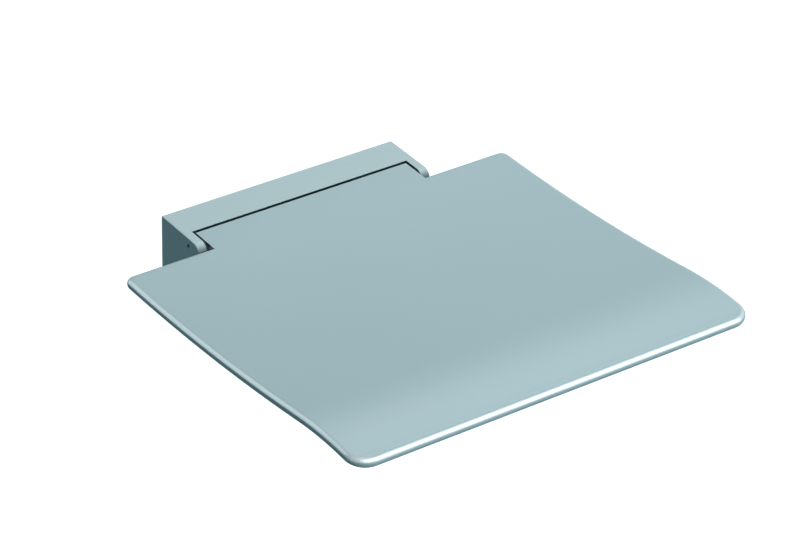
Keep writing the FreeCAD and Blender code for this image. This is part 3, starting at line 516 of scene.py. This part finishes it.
def waveAt(distance):
    # height above the flat top and slope of the top face, at a distance from the wall
    rise = math.radians(seatPanel["riseAngle"])
    crestRadius = seatPanel["crestRadius"] * mm
    start = seatPanel["hollowStart"] * mm
    crestRow = seatReach - seatPanel["crestSetback"] * mm
    hollowRadius = (crestRow - start) / math.sin(rise) - crestRadius
    crestHeight = (hollowRadius + crestRadius) * (1 - math.cos(rise))
    fall = math.radians(seatPanel["frontAngle"])
    if distance <= start:
        return 0, 0
    if distance < crestRow - crestRadius * math.sin(rise):
        angle = math.asin((distance - start) / hollowRadius)
        return hollowRadius * (1 - math.cos(angle)), angle
    if distance < crestRow + crestRadius * math.sin(fall):
        angle = math.asin((crestRow - distance) / crestRadius)
        return crestHeight - crestRadius * (1 - math.cos(angle)), angle
    end = crestRow + crestRadius * math.sin(fall)
    height = crestHeight - crestRadius * (1 - math.cos(fall)) - (distance - end) * math.tan(fall)
    return height, -fall


def waveSlab(halfWidth, rear, front, top, bottom, rearCorner=0, frontCorner=0):
    # a slab of the seat between two depths below the top face, with rows close enough for the wave
    bm = bmesh.new()
    bmesh.ops.create_grid(bm, x_segments=1, y_segments=1, size=0.5)
    bmesh.ops.scale(bm, vec=(2 * halfWidth, front - rear, 1), verts=bm.verts)
    bmesh.ops.translate(bm, vec=(0, -(front + rear) / 2, 0), verts=bm.verts)
    middle = -(front + rear) / 2
    for radius, wanted in ((rearCorner, lambda y: y > middle), (frontCorner, lambda y: y < middle)):
        if radius:
            corners = [vert for vert in bm.verts if abs(abs(vert.co.x) - halfWidth) < hair
                       and min(abs(vert.co.y + rear), abs(vert.co.y + front)) < hair and wanted(vert.co.y)]
            bmesh.ops.bevel(bm, geom=corners, offset=radius, offset_type="OFFSET", affect="VERTICES",
                            segments=seatPanel["cornerSegments"], profile=0.5, material=-1)
    steps = math.ceil((front - rear) / (seatPanel["rowStep"] * mm))
    for step in range(1, steps):
        row = rear + (front - rear) * step / steps
        bmesh.ops.bisect_plane(bm, geom=bm.verts[:] + bm.edges[:] + bm.faces[:], dist=hair / 10,
                               plane_co=(0, -row, 0), plane_no=(0, 1, 0))
    sheet = bmesh.ops.extrude_face_region(bm, geom=bm.faces[:])
    lower = {part for part in sheet["geom"] if isinstance(part, bmesh.types.BMVert)}
    for vert in bm.verts:
        depth = bottom if vert in lower else top
        height, slope = waveAt(-vert.co.y)
        vert.co.z = seatTop + height - depth / math.cos(slope)      # sides and front stay upright
    bmesh.ops.recalc_face_normals(bm, faces=bm.faces)
    return bm


def makeSeatPanel():
    size = {key: value * mm for key, value in seatPanel.items()}
    slab = waveSlab(seatHalf, size["wingRear"], seatReach, 0, size["thickness"],
                    size["rearCorner"], size["frontCorner"])
    least, most = math.radians(seatPanel["rimLeast"]), math.radians(seatPanel["rimMost"])
    rim = [edge for edge in slab.edges if least < edge.calc_face_angle(0) < most
           and any(abs(face.normal.z) > 0.5 for face in edge.link_faces)]     # not the upright corner lines
    roundEdges(slab, rim, size["rimRadius"], seatPanel["rimSegments"])
    piece = asObject("seat_panel", slab)
    tongue = boxBetween((-tongueHalf, -size["wingRear"] - size["rimWall"], seatTop - size["thickness"]),
                        (tongueHalf, -tongueRear, seatTop))
    carve(piece, tongue, "UNION")
    # the hollow under the skin, then the room for the hinge block, then the skirt at the tongue's rear
    carve(piece, waveSlab(seatHalf - size["rimWall"], size["hollowRear"], seatReach - size["rimWall"],
                          size["skin"], size["thickness"] + size["overcut"]))
    side = tongueHalf + size["gap"]
    inner = -tongueRear - size["skirtThickness"]
    under = seatTop - size["thickness"] - size["overcut"]
    carve(piece, boxBetween((-side, -size["hollowRear"] - size["gap"], under),
                            (side, inner, seatTop - size["skin"])))
    carve(piece, boxBetween((-side, inner - size["gap"], under),
                            (side, -tongueRear + size["overcut"], seatTop - size["skirtDepth"])))
    finishPiece(piece, "seat", "seat_finish", "seat_shell")


makeSeatPanel()


# Housing: two rounded cheeks joined by a strip along the wall.

wallHousing = {             # millimetres
    "cheekThickness": 9.8,
    "cheekFoot": 30,
    "footRadius": 7,
    "footSegments": 8,
    "noseSegments": 24,
    "edgeRadius": 0.8,
    "edgeSegments": 3,
    "stripThickness": 3,
    "stripDepth": 37.4,
    "socketRadius": 6,
    "socketDepth": 6.2,
    "lockRadius": 2,
    "lockBehind": 8,
    "lockAbove": 3,
    "overcut": 5,
}


def makeHousing():
    size = {key: value * mm for key, value in wallHousing.items()}
    half = housingHigh.x
    top, foot = housingHigh.z, housingLow.z
    noseRadius = top - hingeAxis.z
    # the slanted front touches the round nose and ends at the foot
    fall = Vector((hingeAxis.z - foot, -hingeAxis.y - size["cheekFoot"]))
    turn = math.atan2(fall.x, fall.y) + math.acos(noseRadius / fall.length) + math.pi / 2
    # the side's outline, then a block of it as wide as the housing
    bm = bmesh.new()
    start = bm.verts.new((-half, hingeAxis.y, top))
    rear = [bm.verts.new((-half, 0, top)), bm.verts.new((-half, 0, foot)),
            bm.verts.new((-half, -size["cheekFoot"], foot))]
    nose = bmesh.ops.spin(bm, geom=[start], cent=(-half, hingeAxis.y, hingeAxis.z), axis=(1, 0, 0),
                          angle=turn - math.pi, steps=wallHousing["noseSegments"])
    last = next(part for part in nose["geom_last"] if isinstance(part, bmesh.types.BMVert))
    for first, second in ((start, rear[0]), (rear[0], rear[1]), (rear[1], rear[2]), (rear[2], last)):
        bm.edges.new((first, second))
    bmesh.ops.contextual_create(bm, geom=bm.edges[:])
    bmesh.ops.bevel(bm, geom=[rear[2]], offset=size["footRadius"], offset_type="OFFSET", affect="VERTICES",
                    segments=wallHousing["footSegments"], profile=0.5, material=-1)
    prism = bmesh.ops.extrude_face_region(bm, geom=bm.faces[:])
    bmesh.ops.translate(bm, vec=(2 * half, 0, 0),
                        verts=[part for part in prism["geom"] if isinstance(part, bmesh.types.BMVert)])
    bmesh.ops.recalc_face_normals(bm, faces=bm.faces)
    outer = [edge for edge in bm.edges if all(abs(abs(vert.co.x) - half) < hair for vert in edge.verts)
             and abs(edge.verts[0].co.x - edge.verts[1].co.x) < hair
             and min(vert.co.y for vert in edge.verts) < -hair]     # all but the edges at the wall
    roundEdges(bm, outer, size["edgeRadius"], wallHousing["edgeSegments"])
    piece = asObject("wall_housing", bm)
    # the space between the cheeks, below the strip and in front of it
    inner = half - size["cheekThickness"]
    past = -hingeAxis.y + noseRadius + size["overcut"]
    carve(piece, boxBetween((-inner, -past, foot - size["overcut"]),
                            (inner, size["overcut"], top - size["stripThickness"])))
    carve(piece, boxBetween((-inner, -past, foot), (inner, -size["stripDepth"], top + size["overcut"])))
    # sockets for the pivot pins and holes for their lock screws
    for outward in (Vector((-1, 0, 0)), Vector((1, 0, 0))):
        pin = Vector((0, hingeAxis.y, hingeAxis.z)) + outward * inner
        carve(piece, rodAlongX(size["socketRadius"], pin - outward * size["overcut"],
                               pin + outward * size["socketDepth"]))
        lock = pin + Vector((0, size["lockBehind"], size["lockAbove"]))
        carve(piece, rodAlongX(size["lockRadius"], lock - outward * size["overcut"],
                               lock + outward * (size["cheekThickness"] + size["overcut"])))
    finishPiece(piece, "wall_unit", "housing_finish", "housing")


makeHousing()


# The other nodes keep their own meshes and get their finishes.

replaced = {"seat_shell", "housing"}
for name, node in frame["nodes"].items():
    if name not in replaced:
        node.data.materials.clear()
        node.data.materials.append(finishes[slotOf[name]])
print("finishes given to", len(frame["nodes"]) - len(replaced), "nodes")


# Floor, world, lamps and camera.

room = {                                # metres
    "floorDrop": 0.45,                  # below the housing
    "floorSize": 14,
    "floorTint": (0.18, 0.27, 0.3),
    "floorRoughness": 0.9,
    "floorGlow": 0.9,                   # for the camera alone
    "fill": (0.108, 0.183, 0.205),      # the world's light
    "white": (1, 1, 1, 1),
}


def makeFloor():
    # white for the camera, and clear from below, so that the underside can be seen
    bm = bmesh.new()
    bmesh.ops.create_grid(bm, x_segments=1, y_segments=1, size=room["floorSize"] / 2)
    bmesh.ops.translate(bm, vec=(0, 0, housingLow.z - room["floorDrop"]), verts=bm.verts)
    floor = asObject("floor", bm)
    if floor.data.polygons[0].normal.z < 0:
        floor.data.flip_normals()
    material = bpy.data.materials.new("paleFloor")
    material.use_nodes = True
    tree = material.node_tree
    shader = tree.nodes["Principled BSDF"]
    shader.inputs["Base Color"].default_value = (*room["floorTint"], 1)
    shader.inputs["Roughness"].default_value = room["floorRoughness"]
    shader.inputs["Emission Color"].default_value = room["white"]
    seen = addNode(tree, "ShaderNodeLightPath").outputs["Is Camera Ray"]
    feed(tree, compute(tree, "MULTIPLY", seen, room["floorGlow"]), shader.inputs["Emission Strength"])
    below = addNode(tree, "ShaderNodeNewGeometry").outputs["Backfacing"]
    clear = addNode(tree, "ShaderNodeBsdfTransparent").outputs[0]
    either = addNode(tree, "ShaderNodeMixShader", {0: below, 1: shader.outputs[0], 2: clear})
    feed(tree, either.outputs[0], tree.nodes["Material Output"].inputs["Surface"])
    floor.data.materials.append(material)


def makeWorld():
    # white for the camera and in reflections, and a cool fill for everything else
    world = bpy.data.worlds.new("studio")
    bpy.context.scene.world = world
    world.use_nodes = True
    tree = world.node_tree
    seen = addNode(tree, "ShaderNodeLightPath").outputs
    white = compute(tree, "MAXIMUM", seen["Is Camera Ray"], seen["Is Glossy Ray"])
    white = compute(tree, "MAXIMUM", white, seen["Is Transmission Ray"])
    light = addNode(tree, "ShaderNodeMix", {0: white, 6: (*room["fill"], 1), 7: room["white"]},
                    data_type="RGBA")
    feed(tree, light.outputs[2], tree.nodes["Background"].inputs["Color"])


studio = {      # azimuth turns from straight behind the seat to the right; degrees, metres and watts
    "frontLamp": {"azimuth": 158, "elevation": 40, "distance": 5, "width": 4.4, "height": 4.4,
                  "power": 219, "softOnly": True},
    "keyLamp": {"azimuth": 109, "elevation": 56, "distance": 6, "width": 1.9, "height": 1.9,
                "power": 173, "softOnly": True},
    "rearLamp": {"azimuth": 39, "elevation": 44, "distance": 6, "width": 2.1, "height": 2.1, "power": 40},
    "rimGlint": {"azimuth": 138, "elevation": 32, "distance": 6, "width": 5, "height": 7,
                 "power": 185, "glossOnly": True},
    "cornerGlint": {"azimuth": -168, "elevation": 40, "distance": 6, "width": 4.2, "height": 5.6,
                    "power": 150, "glossOnly": True},
    "sideGlint": {"azimuth": -34, "elevation": 22, "distance": 5, "width": 3.8, "height": 4.8,
                  "power": 120, "glossOnly": True, "colour": (0.82, 1, 1.04)},
}


def makeLamp(name, lamp):
    azimuth, elevation = math.radians(lamp["azimuth"]), math.radians(lamp["elevation"])
    towards = Vector((math.sin(azimuth) * math.cos(elevation), math.cos(azimuth) * math.cos(elevation),
                      math.sin(elevation)))
    light = bpy.data.lights.new(name, "AREA")
    light.shape = "RECTANGLE"
    light.size = lamp["width"]
    light.size_y = lamp["height"]
    light.energy = lamp["power"]
    light.color = lamp.get("colour", (1, 1, 1))
    holder = bpy.data.objects.new(name, light)
    bpy.context.scene.collection.objects.link(holder)
    holder.location = (seatLow + seatHigh) / 2 + towards * lamp["distance"]
    holder.rotation_euler = towards.to_track_quat("Z", "Y").to_euler()
    holder.visible_camera = False
    holder.visible_diffuse = not lamp.get("glossOnly", False)
    holder.visible_glossy = not lamp.get("softOnly", False)


# The camera was fitted to the edges of the seat in the photograph. Its azimuth starts straight in front.
view = {
    "azimuth": -35.9571, "elevation": 32.728, "roll": 1.9702,   # degrees
    "distance": 3142.08, "right": 113.014, "up": -95.322,       # millimetres
    "focal": 3368.58, "imageWidth": 800,                        # pixels
    "sensor": 36,                                               # millimetres
    "clipEnd": 50,                                              # metres
}


def makeCamera():
    azimuth, elevation, roll = (math.radians(view[key]) for key in ("azimuth", "elevation", "roll"))
    back = Vector((math.sin(azimuth) * math.cos(elevation), -math.cos(azimuth) * math.cos(elevation),
                   math.sin(elevation)))
    level = Vector((math.cos(azimuth), math.sin(azimuth), 0))
    upright = back.cross(level)
    right = math.cos(roll) * level + math.sin(roll) * upright
    up = math.cos(roll) * upright - math.sin(roll) * level
    place = (back * view["distance"] + right * view["right"] + up * view["up"]) * mm
    place.z += housingHigh.z
    data = bpy.data.cameras.new("camera")
    data.sensor_width = view["sensor"]
    data.lens = view["focal"] * view["sensor"] / view["imageWidth"]
    data.clip_end = view["clipEnd"]
    camera = bpy.data.objects.new("camera", data)
    bpy.context.scene.collection.objects.link(camera)
    camera.matrix_world = Matrix.Translation(place) @ Matrix((right, up, back)).transposed().to_4x4()
    bpy.context.scene.camera = camera


makeFloor()
makeWorld()
for name, lamp in studio.items():
    makeLamp(name, lamp)
makeCamera()
bpy.context.scene.view_settings.view_transform = "Standard"
print("stage, lamps and camera made")
